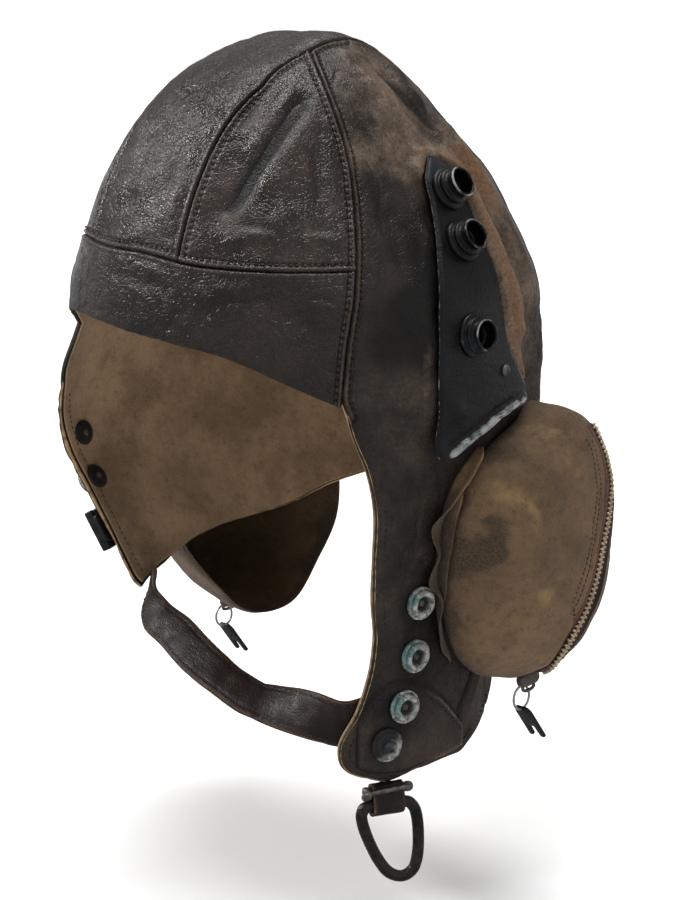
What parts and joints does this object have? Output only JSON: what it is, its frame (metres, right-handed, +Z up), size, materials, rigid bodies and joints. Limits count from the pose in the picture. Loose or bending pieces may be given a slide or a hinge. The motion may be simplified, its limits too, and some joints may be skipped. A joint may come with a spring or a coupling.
{
  "type": "leather flying helmet",
  "caption": "Close-fitting leather flying helmet with sewn crown panels, brow band, zipped ear pockets, socket plate, press studs, chin strap and hanging buckle.",
  "frame": {"origin": "highest point of the lining's inner face, where the helmet sits on the head", "axes": "+Z up out of the crown, -Y the way the face looks, +X the wearer's left, the side with the socket plate"},
  "size_m": [0.241, 0.2062, 0.3426],
  "materials": {
    "crown_leather": "glossy worn dark brown",
    "side_leather": "worn brown, orange-brown where rubbed",
    "lining": "tan chamois",
    "suede": "matt brown with dark marks",
    "strap_leather": "dark red-brown",
    "black_plate": "glossy black, whitish along its worn lip",
    "old_steel": "worn grey with blue-green corrosion",
    "bronze": "dark bronze",
    "zip_brass": "dull",
    "black_plastic": "worn black"
  },
  "bodies": {
    "helmet": {"crown_strip": "crown_leather", "brow_band": "crown_leather", "front_gore_left": "crown_leather", "front_gore_right": "crown_leather", "side_panel_left": "side_leather", "side_panel_right": "side_leather", "flap_patch": "side_leather", "strip_lining": "lining", "band_lining": "lining", "gore_lining_left": "lining", "gore_lining_right": "lining", "side_lining_left": "lining", "side_lining_right": "lining", "ear_pocket_left": "suede", "ear_pocket_right": "suede", "pocket_seam_left": "suede", "pocket_seam_right": "suede", "zip_left": "zip_brass", "zip_right": "zip_brass", "zip_slider_left": "old_steel", "zip_slider_right": "old_steel", "pull_ring_left": "old_steel", "pull_ring_right": "old_steel", "pull_tab_left": "black_plastic", "pull_tab_right": "black_plastic", "ear_plate": "black_plate", "plate_socket_top": "black_plate", "plate_socket_middle": "black_plate", "plate_socket_low": "black_plate", "plate_rivet": "old_steel", "press_stud_1": "old_steel", "press_stud_2": "old_steel", "press_stud_3": "old_steel", "press_stud_4": "old_steel", "far_stud_1": "old_steel", "far_stud_2": "old_steel", "far_stud_1_back": "black_plastic", "far_stud_2_back": "black_plastic", "chin_strap": "strap_leather", "buckle_tab": "strap_leather", "buckle_bar": "old_steel", "clip_base": "black_plastic", "side_clip": "black_plastic"},
    "buckle": {"buckle_loop": "bronze"}
  },
  "joints": [
    {"name": "buckle_swing", "type": "hinge", "parent": "helmet", "child": "buckle", "pos_m": [0.07743, -0.03029, -0.30509], "axis": [0.3746, 0.9272, 0], "range_deg": [-80, 80]}
  ]
}
